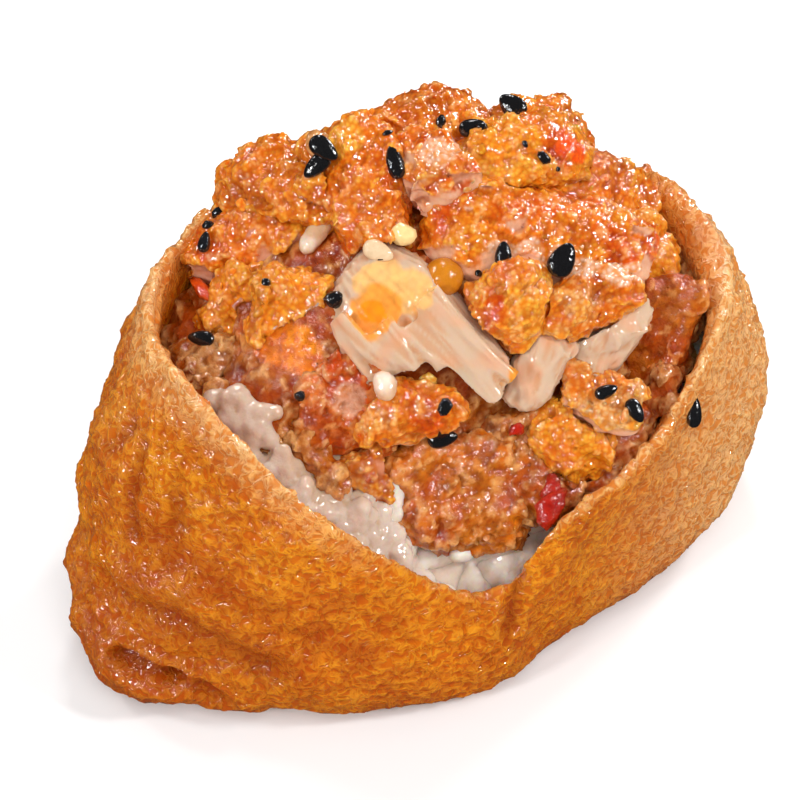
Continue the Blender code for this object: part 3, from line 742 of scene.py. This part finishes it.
def joined(name, items):
    """One object from (points, faces, colour, gloss) rows, points in millimetres."""
    verts, faces, colours, gloss = [], [], [], []
    start = 0
    for points, cuts, colour, wet in items:
        verts.append(points)
        faces += [tuple(start + k for k in cut) for cut in cuts]
        colours.append(np.broadcast_to(colour, points.shape))
        gloss.append(np.full(len(points), wet))
        start += len(points)
    mesh = bpy.data.meshes.new(name)
    mesh.from_pydata((np.concatenate(verts) * MM).tolist(), [], faces)
    mesh.update()
    obj = bpy.data.objects.new(name, mesh)
    bpy.context.scene.collection.objects.link(obj)
    paint(obj, np.concatenate(colours), np.concatenate(gloss))
    return obj


def spread(rng, mesh_points, count, apart, keep):
    """Up to count of the points, picked at random at least a distance apart, where keep is true."""
    order = rng.permutation(np.flatnonzero(keep))
    taken = np.empty((0, 3))
    picks = []
    for k in order:
        if len(taken) == 0 or np.min(np.linalg.norm(taken - mesh_points[k], axis=1)) > apart:
            taken = np.vstack([taken, mesh_points[k]])
            picks.append(k)
            if len(picks) == count:
                break
    return picks


def tree_of(objects):
    """A search tree over several objects' faces, in millimetres."""
    verts, faces = [], []
    for obj in objects:
        start = len(verts)
        verts += [tuple(point) for point in points_of(obj)]
        faces += [tuple(start + k for k in face.vertices) for face in obj.data.polygons]
    return BVHTree.FromPolygons(verts, faces)


def in_view(tree, spot):
    """Where the line from the camera to a place meets the surface, and the surface's normal there."""
    way = np.array(spot) - EYE
    place, normal, _, far = tree.ray_cast(Vector(EYE), Vector(way))
    if place is None or abs(far - np.linalg.norm(way)) > 9.0:
        place, normal, _, _ = tree.find_nearest(Vector(spot))
    return np.array(place), np.array(normal)


def heading_in_view(degrees):
    """A direction across the view, 0 to the right and 90 up."""
    angle = math.radians(degrees)
    return VIEW_RIGHT * math.cos(angle) + VIEW_UP * math.sin(angle)


# Single grains among the meat: place, heading in the view, length, width.
LOOSE_RICE = (
    ((-20.3, -0.9, 30.0), -20, 3.0, 2.1), ((-19.0, -0.9, 30.0), 35, 2.8, 2.0), ((-18.3, -1.7, 29.5), -60, 2.9, 2.0),
    ((-19.7, -1.8, 29.0), 70, 2.8, 2.1), ((-18.8, -2.5, 28.5), 20, 2.8, 2.2), ((-18.3, -3.5, 28.0), -70, 3.2, 2.0),
    ((-17.4, -3.1, 28.5), 80, 2.8, 1.8), ((-17.6, -2.4, 29.0), -10, 2.6, 1.9), ((-16.6, -2.7, 28.5), 15, 2.8, 1.5),
    ((-17.5, -4.2, 27.5), -50, 2.8, 1.8), ((-7.0, 7.8, 38.1), 55, 4.2, 1.8), ((-7.2, -7.7, 33.0), -80, 2.6, 1.9),
)
# The bank of grains that stands against the left part of the front rim.
RIM_RICE = (
    (-18.1, -9.1, 27.0), (-16.8, -10.5, 26.0), (-15.6, -12.0, 25.0), (-14.2, -13.4, 24.0), (-12.8, -14.4, 22.5),
    (-11.3, -15.4, 21.0), (-9.9, -16.3, 20.0), (-16.9, -8.8, 27.0), (-15.7, -10.2, 26.0), (-14.4, -11.7, 25.0),
    (-13.2, -13.3, 24.0), (-11.8, -14.1, 22.5), (-10.4, -14.9, 21.0),
)


def make_rice(meat, skin):
    """The core of the rice, and the grains that show between the pouch's front rim and the meat."""
    bm = welded("rice")
    rice = remeshed(new_object("rice_core", bm), 0.55, smoothing=4)
    p = points_of(rice)
    n = normals_of(rice)
    near, edge, mark, lean = cells(warped(p, 2.0, 0.4, 88), 1.9, 90)
    dome = np.clip(1.0 - (near * 1.15) ** 2, 0.0, 1.0)
    put_points(rice, p + n * (0.75 * dome + 0.5 * mark - 1.1)[:, None])
    back = np.maximum(smooth(-11.0, -4.0, p[:, 1] - 0.25 * p[:, 0]), smooth(8.0, 13.0, p[:, 0]))
    colour = blend(blend(RICE_WHITE, RICE_GREY, 0.5 * mark), RICE_BROWN, back)
    # Painted shade: browner between the grain-sized bumps of the core.
    colour = blend(colour, RICE_BROWN, smooth(0.35, 0.0, dome) * 0.4)
    paint(rice, colour, np.full(len(p), 0.32))
    finish_piece(rice, rice_material, "cooked_rice", "rice")
    rng = np.random.default_rng(5)
    template, faces = turned(lambda x: (1.0 - abs(x) ** 3.0) ** 0.5, 9, 10)
    items = []
    for layer, apart, count in ((-0.6, 1.3, 620), (0.15, 2.3, 220)):
        for k in spread(rng, p, count, apart, n[:, 2] > 0.15):
            spot, normal = p[k], n[k]
            above = meat.ray_cast(Vector(spot) + Vector((0.0, 0.0, 0.5)), (0.0, 0.0, 1.0))[3]
            if above is not None and above > 0.6:
                continue
            heading = frame_at(normal, rng.normal(size=3)) @ (1.0, 0.0, 0.5 * rng.normal())
            axes = frame_at(np.cross(heading, rng.normal(size=3)), heading)
            size = np.array((2.6, 1.12, 1.02)) * (0.85 + 0.25 * rng.random())
            shape = template * size
            shape[:, 2] += 0.05 * (shape[:, 0] ** 2)
            points = shape @ axes.T + spot + normal * (layer + 0.3 * rng.random())
            if min(skin.find_nearest(Vector(point))[3] for point in points[::12]) < 0.35:
                continue
            items.append((points, faces, RICE_WHITE, 0.3))
    for spot in RIM_RICE:
        for _ in range(3):
            heading = frame_at(VIEW_BACK, rng.normal(size=3))
            place = np.array(spot) + rng.normal(size=3) * 0.45 - VIEW_BACK * (0.2 + 0.5 * rng.random())
            points = (template * (2.0, 1.0, 0.95)) @ heading.T + place
            items.append((points, faces, RICE_WHITE, 0.3))
    for spot, heading, length, width in LOOSE_RICE:
        items.append((on_surface(meat, template, spot, length, width, 0.9 * width, heading, 0.1), faces,
                      RICE_WHITE, 0.3))
    grains = remeshed(joined("rice_grains", items), 0.27, smoothing=0)
    p = points_of(grains)
    n = normals_of(grains)
    broken = smooth(-4.0, -9.0, p[:, 0])
    dome = np.clip(1.0 - (cells(p, 0.85, 91)[0] * 1.2) ** 2, 0.0, 1.0)
    put_points(grains, p + n * ((0.05 + 0.17 * broken) * dome + 0.08 * perlin(p, 1.6, 92))[:, None])
    near_meat = np.array([meat.find_nearest(Vector(point))[3] for point in p])
    soaked = smooth(2.2, 0.4, near_meat + 0.9 * perlin(p, 2.2, 93))
    left = smooth(-11.5, -16.5, p[:, 0] + 0.35 * p[:, 1])
    out = bulge(grains, points_of(grains), normals_of(grains), 8)
    colour = blend(RICE_WHITE, RICE_BROWN, 0.75 * soaked * smooth(-11.0, -7.0, p[:, 1] - 0.25 * p[:, 0]))
    colour = blend(colour, RICE_GREY, 0.75 * left)
    # Painted shade: browner in the dents between the grains, more so at the left.
    colour = blend(colour, RICE_BROWN, (0.35 + 0.40 * left) * smooth(0.0, -0.20, out))
    paint(grains, colour, np.full(len(p), 0.28))
    finish_piece(grains, rice_material, "cooked_rice")
    return grains


def make_crumbs(surfaces, tree):
    """Small torn bits of meat and crust over the heap and in the seams between its pieces."""
    rng = np.random.default_rng(8)
    shapes = crumb_shapes(8)
    points = np.concatenate([points_of(obj) for obj in surfaces])
    normals = np.concatenate([normals_of(obj) for obj in surfaces])
    tints = np.concatenate([tints_of(obj) for obj in surfaces])
    items = []
    for count, apart, low, high in ((60, 2.0, 0.35, 0.75), (600, 0.8, 0.12, 0.34)):
        for k in spread(rng, points, count, apart, normals[:, 2] > -0.2):
            spot, normal = points[k], normals[k]
            size = low + (high - low) * rng.random() ** 1.5
            open_air = tree.ray_cast(Vector(spot + normal * 0.6), Vector(normal))[3]
            if open_air is not None and open_air < 2.0 * size:
                continue
            verts, faces = shapes[rng.integers(len(shapes))]
            stretch = np.array((1.4, 1.0, 0.5)) * size
            axes = frame_at(normal + 0.8 * rng.normal(size=3), rng.normal(size=3))
            colour = tints[k, :3] * (0.85 + 0.35 * rng.random(3))
            items.append(((verts * stretch) @ axes.T + spot + normal * 0.1 * size, faces, colour, 0.28))
    crumbs = joined("meat_crumbs", items)
    finish_piece(crumbs, crust_material, "seared_chicken")
    return crumbs


# Black sesame: place, length, width, and heading in the view in degrees, the pointed end first.
BLACK_SESAME = (
    ((-4.8, 11.0, 45.0), 3.0, 1.8, -38), ((-5.9, 10.0, 44.2), 3.0, 1.7, 222), ((0.4, 7.0, 44.7), 3.1, 1.6, 105),
    ((14.7, 11.8, 42.9), 2.9, 2.1, 140), ((9.5, 9.7, 43.6), 2.5, 1.6, 15), ((-16.2, 12.8, 36.5), 2.0, 1.1, 78),
    ((-19.0, 7.4, 30.0), 2.5, 1.4, 172), ((6.4, -3.3, 39.8), 2.4, 1.5, 88), ((11.4, -5.2, 38.8), 3.3, 2.3, 63),
    ((-2.4, -9.6, 25.7), 2.8, 1.6, 10), ((11.8, -14.0, 29.9), 2.2, 1.2, 22), ((14.0, -15.7, 28.0), 2.4, 1.4, -60),
    ((20.4, -15.7, 25.1), 2.9, 1.4, 88),
)
# Broken black sesame and charred specks: place, length, width, heading.
BLACK_BITS = (
    ((13.0, 2.3, 44.5), 1.5, 0.9, -50), ((11.9, 3.8, 45.3), 0.9, 0.5, -60), ((-15.0, 15.0, 36.5), 1.2, 0.8, 20),
    ((-13.9, 15.2, 37.5), 1.3, 0.8, 45), ((-8.7, 0.0, 37.4), 1.9, 1.6, -30), ((-13.4, 4.6, 37.3), 0.9, 0.7, 0),
    ((-3.1, -11.4, 31.7), 1.7, 1.2, 60), ((-14.1, -4.5, 31.5), 1.2, 1.0, 45), ((0.7, 9.1, 46.5), 1.1, 0.5, 20),
    ((6.6, 10.4, 44.9), 1.2, 0.9, 80), ((10.3, 9.3, 43.8), 1.1, 0.8, -30), ((3.9, -3.4, 38.5), 0.7, 0.6, 0),
    ((-4.1, 0.2, 40.4), 0.8, 0.5, 10), ((14.0, 1.2, 43.6), 0.5, 0.5, 0), ((3.9, -12.0, 26.2), 0.8, 0.5, 60),
)
# Red chilli: place, length, width, heading, colour.
RED_BITS = (
    ((5.0, -17.2, 20.9), 4.4, 2.3, 60, CHILLI), ((-16.9, 11.9, 31.3), 3.2, 1.1, -45, CHILLI_ORANGE),
    ((4.1, -11.6, 26.0), 1.6, 1.0, 20, CHILLI), ((5.4, -16.8, 21.9), 3.2, 1.7, 95, CHILLI),
)


def on_surface(tree, template, spot, length, width, thick, heading, sink=0.35, facing=0.82):
    """A shape's points laid on the surface seen at a place, turned partly to the viewer."""
    place, normal = in_view(tree, spot)
    up = normal * (1.0 - facing) + VIEW_BACK * facing
    axes = frame_at(up, heading_in_view(heading))
    lift = axes[:, 2] * thick * (0.5 - sink) + VIEW_BACK * 0.35
    return (template * (np.array((length, width, thick)) * 0.5)) @ axes.T + place + lift


def make_seeds(tree):
    """Sesame, chilli and the single odd bits that lie on the heap."""
    seed_shape, seed_faces = turned(lambda x: (1.0 - abs(x) ** 2.3) ** 0.5 * (1.0 - 0.28 * x), 12, 14)
    chip_shapes = crumb_shapes(6)
    rows = [(on_surface(tree, seed_shape, spot, length, width, 0.85, heading, 0.1), seed_faces, BLACK, 0.30)
            for spot, length, width, heading in BLACK_SESAME]
    for k, (spot, length, width, heading) in enumerate(BLACK_BITS):
        shape, faces = chip_shapes[k % 6]
        rows.append((on_surface(tree, shape, spot, length, width, 0.5 * width, heading, 0.2), faces, BLACK, 0.30))
    finish_piece(joined("black_sesame", rows), seed_material, "small_meat")
    rows = []
    for k, (spot, length, width, heading, colour) in enumerate(RED_BITS):
        shape, faces = chip_shapes[(k + 2) % 6]
        shape = shape * (1.0 + 0.45 * perlin(shape, 0.55, 96 + k))[:, None]
        rows.append((on_surface(tree, shape, spot, length, width, 0.4 * width, heading, 0.3), faces, colour, 0.25))
    finish_piece(joined("red_chilli", rows), glaze_material, "small_meat")
    rows = [(on_surface(tree, seed_shape, (-4.0, 0.8, 40.6), 2.9, 1.8, 1.0, -24, 0.1), seed_faces,
             (0.80, 0.58, 0.36), 0.35)]
    shape, faces = chip_shapes[1]
    rows.append((on_surface(tree, shape, (-1.2, 1.7, 40.9), 2.9, 2.1, 1.3, -8, 0.1), faces, (0.95, 0.68, 0.30), 0.4))
    finish_piece(joined("pale_sesame", rows), seed_material, "small_meat")
    bm = bmesh.new()
    bmesh.ops.create_icosphere(bm, subdivisions=3, radius=1.0)
    ball = np.array([v.co for v in bm.verts])
    ball_faces = [tuple(v.index for v in f.verts) for f in bm.faces]
    bm.free()
    place, normal = in_view(tree, (0.9, -2.4, 38.3))
    rows = [(ball * 1.85 * (1.0 + 0.06 * perlin(ball, 0.8, 77))[:, None] + place + VIEW_BACK * 0.7, ball_faces,
             (0.62, 0.21, 0.012), 0.22)]
    finish_piece(joined("brown_seed", rows), seed_material, "small_meat")


# Small meat that fills the mouth out to the rim: place and radius of each lump.
FILLING = (
    ((-19.1, 14.4, 30.3), 1.9), ((-20.2, 12.1, 29.8), 2.0), ((-20.8, 9.6, 29.2), 2.0),
    ((-21.3, 6.8, 28.7), 1.9), ((-21.3, 4.3, 28.2), 1.8), ((-16.6, 14.9, 32.5), 1.8), ((-5.2, 11.4, 43.6), 1.9),
    ((28.0, 0.4, 30.5), 2.0), ((27.3, -2.2, 29.5), 2.2), ((26.2, -4.7, 28.7), 2.2),
    ((24.5, -7.0, 27.7), 2.2), ((22.2, -9.1, 26.8), 2.0), ((20.4, -11.0, 25.8), 2.0),
    ((18.2, -12.7, 24.8), 2.0), ((16.0, -14.2, 23.8), 1.8), ((27.1, 1.8, 32.0), 2.0),
)
# Sauce-soaked crumbs between the front rim's rice and the meat.
RUBBLE = (
    ((-16.4, -5.8, 28.0), 1.3), ((-15.7, -7.2, 27.5), 1.4), ((-15.0, -8.9, 27.0), 1.4), ((-14.2, -10.3, 26.5), 1.4),
    ((-14.9, -6.8, 28.2), 1.3), ((-14.3, -8.8, 27.7), 1.3), ((-13.3, -9.9, 27.0), 1.3), ((-13.5, -11.2, 26.0), 1.2),
    ((-21.2, 3.5, 29.4), 1.8), ((-21.1, 1.1, 29.0), 1.6),
)


def lumps_at(places):
    """A function that adds a cluster of ragged bits at each of some places to a bmesh."""
    def add(bm, rng):
        for place, radius in places:
            for _ in range(4):
                spot = np.array(place) + rng.normal(size=3) * 0.35 * radius
                size = radius * (0.5 + 0.3 * rng.random()) * MM
                lump = bmesh.ops.create_icosphere(bm, subdivisions=2, radius=size)
                bmesh.ops.translate(bm, vec=Vector(spot * MM), verts=lump["verts"])
        bm.normal_update()
    return add


BREAST_FACE = np.array((-2.8, -6.2, 36.3))
# Strands of the white breast, by their places across and up the view from BREAST_FACE: radius, depth, path.
BREAST_STRANDS = (
    (1.10, 0.2, ((0.6, 4.0), (3.4, 0.3), (6.0, -2.3), (8.2, -4.1))),
    (1.05, 0.0, ((-0.6, 3.0), (2.0, -0.7), (4.7, -3.2), (6.9, -5.9))),
    (0.60, 0.1, ((-1.2, 1.2), (1.2, -1.7), (3.6, -3.8), (6.1, -6.2))),
    (0.70, 0.3, ((-1.6, 0.6), (0.2, -1.7), (1.6, -3.4))),
    (1.25, 0.4, ((-3.6, 1.4), (-2.0, -1.2), (-0.8, -3.3))),
    (1.05, 0.1, ((-4.4, 0.4), (-3.0, -2.2), (-2.1, -3.7))),
    (1.15, 0.5, ((-7.6, 1.8), (-5.4, -1.0), (-3.2, -2.9))),
    (0.80, 0.0, ((-8.0, 1.0), (-6.4, -1.7), (-4.6, -4.6))),
    (0.90, 0.0, ((-7.8, 1.2), (-7.2, -0.6), (-6.9, -2.0))),
    (0.55, 0.0, ((-4.4, -3.4), (-3.4, -4.6), (-2.8, -5.6))),
)


def in_plane(across, up, back=0.0):
    """A place on the white breast, from its place in the view."""
    return BREAST_FACE + VIEW_RIGHT * across + VIEW_UP * up + VIEW_BACK * back


def breast_strands(bm, rng):
    """Cut the block's lower end back and hang the torn strands of the breast from it."""
    for vert in bm.verts:
        away = np.array(vert.co) / MM - BREAST_FACE
        across, up, back = away @ VIEW_RIGHT, away @ VIEW_UP, away @ VIEW_BACK
        least = -1.2 - 0.62 * max(0.0, across)
        vert.co = Vector(in_plane(across, max(up, least), back - 0.25) * MM)
    for radius, depth, ends in BREAST_STRANDS:
        ends = np.array(ends)
        steps = np.linspace(0.0, len(ends) - 1.0, 3 * len(ends))
        path = []
        for step in steps:
            across = np.interp(step, np.arange(len(ends)), ends[:, 0])
            up = np.interp(step, np.arange(len(ends)), ends[:, 1])
            share = step / (len(ends) - 1.0)
            path.append(in_plane(across, up, depth + 0.3 - 0.9 * share ** 2))
        add_strand(bm, path, radius, flat=0.75, sides=9)


add_camera()
add_studio()
skin = make_pouch()
toppings = []
# Along the fillet's torn lower edge, where its pale flesh shows.
FILLET_EDGE = ((5.9, -3.6, 40.2), (8.7, -4.2, 39.5), (11.0, -5.6, 39.2), (13.1, -7.2, 39.2), (15.3, -8.4, 38.6),
               (17.6, -8.0, 36.8), (19.0, -7.5, 35.1))
SEARED_PIECES = (
    ("fillet_slab", dict(way=(0.0, 0.6, 0.8), bare=-0.02, flesh=FLESH, fibre=(0.95, -0.3, -0.1), dark=CRUST_RED,
                         spots=tuple((place, 1.5, FLESH) for place in FILLET_EDGE))),
    ("top_chunk", dict(dark=CRUST_RED, light=CRUST, spots=(((-3.3, 10.0, 46.5), 1.8, CRUST_YELLOW),))),
    ("left_ridge", dict(way=(-0.35, 0.25, 0.9), bare=0.15, flesh=FLESH_PINK, dark=CRUST_RED)),
    ("top_right_chunk", dict(light=CRUST_YELLOW, base=CRUST_GOLD,
                             spots=(((15.9, 2.4, 44.3), 1.6, CHILLI_ORANGE),))),
    ("pale_lump", dict(bare=0.6, flesh=FLESH, light=CRUST_TAN, spots=(((4.0, 5.1, 45.8), 2.0, FLESH),))),
    ("back_left_crust", dict(light=CRUST, dark=CRUST_BROWN)),
    ("back_top_crust", dict(base=CRUST_ROAST, dark=CRUST_BROWN, light=CRUST)),
    ("back_top_right", dict(dark=CRUST_BROWN, rough=0.8)),
    ("right_crust", dict(dark=CRUST_BROWN, rough=0.8)),
    ("right_low_crust", dict(base=CRUST_GOLD, dark=CRUST)),
    # The skin flake and the left flake get the brightest crust colours: partly their own bright orange,
    # partly painted light, as they face away from the lamps.
    ("skin_flake", dict(way=(-0.3, -0.75, 0.6), bare=-0.30, flesh=FLESH_WHITE, base=CRUST_GOLD, dark=CRUST_BRIGHT,
                        light=CRUST_YELLOW)),
    ("left_flake", dict(base=CRUST_GOLD, dark=CRUST_BRIGHT)),
    ("front_ledge", dict(light=CRUST_TAN)),
    ("crumb_cluster", dict(light=CRUST_YELLOW, edge=CRUST_YELLOW, base=CRUST)),
    ("mid_crust", dict(base=CRUST, light=CRUST_TAN, dark=CRUST_BROWN,
                       spots=tuple((place, 1.4, FLESH) for place in FILLET_EDGE))),
    ("flaky_bit", dict(base=CRUST_TAN, dark=CRUST, light=GLAZE_PALE, bare=0.3)),
    ("orange_lump", dict(base=CRUST_GOLD, light=CRUST_YELLOW, dark=CRUST)),
    ("small_flake", dict(base=CRUST_BROWN, dark=CRUST_BROWN, light=CRUST_TAN, bare=0.5, flesh=CRUST_ROAST,
                         fibre=(0.3, 0.2, 1.0))),
    ("rear_left", dict()),
    ("rear_middle", dict(dark=CRUST_BROWN)),
)
for seed, (name, look) in enumerate(SEARED_PIECES):
    toppings.append(torn("seared_" + name, name, seed + 1, dict(SEARED, **look), crust_material,
                         "seared_chicken", rounding=1 if name.startswith("back") else 0))
GLAZED_PIECES = (
    ("front_chunk", dict(base=CRUST_RED, dark=GLAZE_RED, light=CRUST,
                         spots=(((-10.3, -7.0, 31.7), 1.6, FLESH_PINK),))),
    ("dark_slab", dict(base=GLAZE_RED, light=GLAZE, edge=GLAZE, rough=0.6)),
    ("low_meat", dict(light=CRUST, flesh=GLAZE_PALE, bare=-0.3)),
    ("low_middle", dict(base=GLAZE, light=GLAZE_GREY, edge=GLAZE_PALE,
                        spots=(((0.8, -12.6, 25.0), 1.5, CHILLI_ORANGE), ((0.6, -12.2, 26.3), 1.2, CRUST_YELLOW)))),
    ("low_right", dict(base=GLAZE_RED, light=GLAZE)),
    ("left_meat", dict(base=GLAZE, light=GLAZE_PALE, edge=GLAZE_PALE,
                       spots=(((-14.2, 0.2, 34.0), 2.3, CRUST),))),
    ("rear_right", dict()),
)
for seed, (name, look) in enumerate(GLAZED_PIECES):
    toppings.append(torn("glazed_" + name, name, seed + 31, dict(GLAZED, **look), glaze_material,
                         "glazed_chicken"))
BREAST_STAINS = ((in_plane(-1.2, 3.8), 2.4, STAIN_PALE), (in_plane(-3.6, 4.4), 2.6, STAIN_PALE),
                 (in_plane(-4.3, 1.6), 2.5, STAIN), (in_plane(-4.6, 2.0), 1.2, CRUST_BRIGHT),
                 (in_plane(-8.4, 5.2), 1.4, CRUST_BRIGHT), (in_plane(8.6, -3.8), 1.2, CRUST_GOLD))
toppings.append(torn("pale_white_breast", "white_breast", 41, dict(PALE, fibre=(0.4, -0.75, -0.5),
                     spots=BREAST_STAINS), flesh_material, "chicken_breast", voxel=0.23, swell=0.1,
                     flake_count=0, extra=breast_strands))
toppings.append(torn("pale_breast_end", "breast_end", 42, dict(PALE, fibre=(0.5, 0.7, 0.5)), flesh_material,
                     "chicken_breast", flake_count=2))
toppings.append(torn("pale_fibrous_piece", "fibrous_piece", 43, dict(PALE, fibre=(0.7, 0.5, 0.5)),
                     flesh_material, "chicken_breast", flake_count=10))


FLAKE_FOOT = (((-14.2, 0.2, 34.0), 2.3, CRUST), ((-12.6, -1.6, 34.0), 2.0, CRUST_BRIGHT),
              ((-12.4, -3.8, 33.2), 1.5, CRUST))
# The heap, which shows between the pieces, is darker than the other glazed meat:
# partly the glaze's own colour, partly painted shade between the pieces.
heap = torn("meat_heap", "small_meat", 51, dict(GLAZED, base=GLAZE_RED, dark=GLAZE_DARK, light=GLAZE,
                                                spots=FLAKE_FOOT),
            glaze_material, "small_meat", voxel=0.4, flake_count=60, extra=lumps_at(FILLING))
toppings.append(torn("soaked_crumbs", None, 52, dict(GLAZED, base=GLAZE, light=GLAZE_PALE, edge=CRUST_TAN, lumps=0.2),
                     glaze_material, "small_meat", flake_count=24, flake_size=1.0, extra=lumps_at(RUBBLE)))
tree = tree_of([heap] + toppings)
make_rice(tree, tree_of([skin]))
make_crumbs([heap] + toppings[:-4], tree)
make_seeds(tree_of([heap, skin] + toppings))
